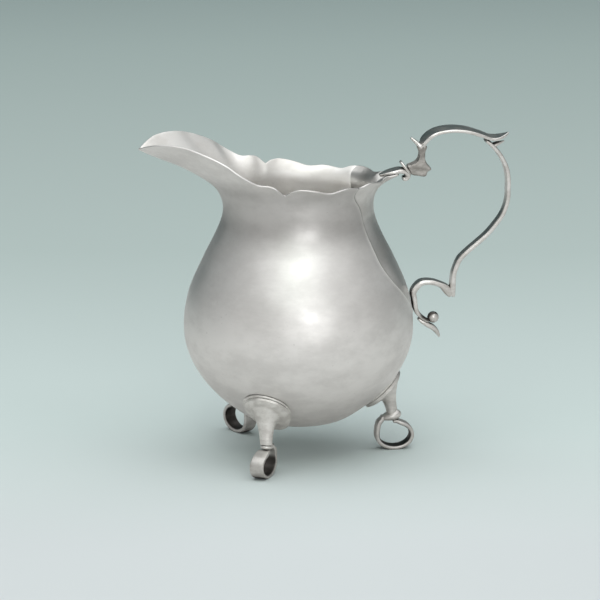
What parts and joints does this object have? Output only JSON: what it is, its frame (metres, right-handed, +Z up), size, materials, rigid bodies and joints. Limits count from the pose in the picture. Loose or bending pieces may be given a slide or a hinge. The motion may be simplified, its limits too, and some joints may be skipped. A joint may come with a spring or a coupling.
{
  "type": "cream jug",
  "caption": "Small silver cream jug: round pear-shaped body, broad pulled lip, scalloped rim, double-scroll handle and cast scroll feet.",
  "frame": {"origin": "middle of the overall length and width, on the ground plane under the three feet", "axes": "+Z up, +X from the pouring lip towards the handle, +Y to the side"},
  "size_m": [0.1164, 0.0716, 0.1026],
  "materials": {
    "raised_sheet": "satin, lightly hammered and hand-rubbed silver",
    "let_in_panel": "satin silver sheet, slightly darker, with a dark solder line",
    "cast_handle": "polished cast silver with dark tarnish in the hollows",
    "cast_foot": "soft polished cast silver with dark tarnish in the hollows"
  },
  "bodies": {
    "root": {"body": "raised_sheet", "back_panel": "let_in_panel", "upper_strap": "cast_handle", "handle_collar": "cast_handle", "handle_root": "cast_handle", "thumb_spur": "cast_handle", "handle_arch": "cast_handle", "grip_rod": "cast_handle", "lower_scroll": "cast_handle", "scroll_bud": "cast_handle", "scroll_tail": "cast_handle", "foot_patch_1": "cast_foot", "foot_leg_1": "cast_foot", "foot_knop_1": "cast_foot", "foot_scroll_1": "cast_foot", "foot_patch_2": "cast_foot", "foot_leg_2": "cast_foot", "foot_knop_2": "cast_foot", "foot_scroll_2": "cast_foot", "foot_patch_3": "cast_foot", "foot_leg_3": "cast_foot", "foot_knop_3": "cast_foot", "foot_scroll_3": "cast_foot"}
  },
  "joints": []
}
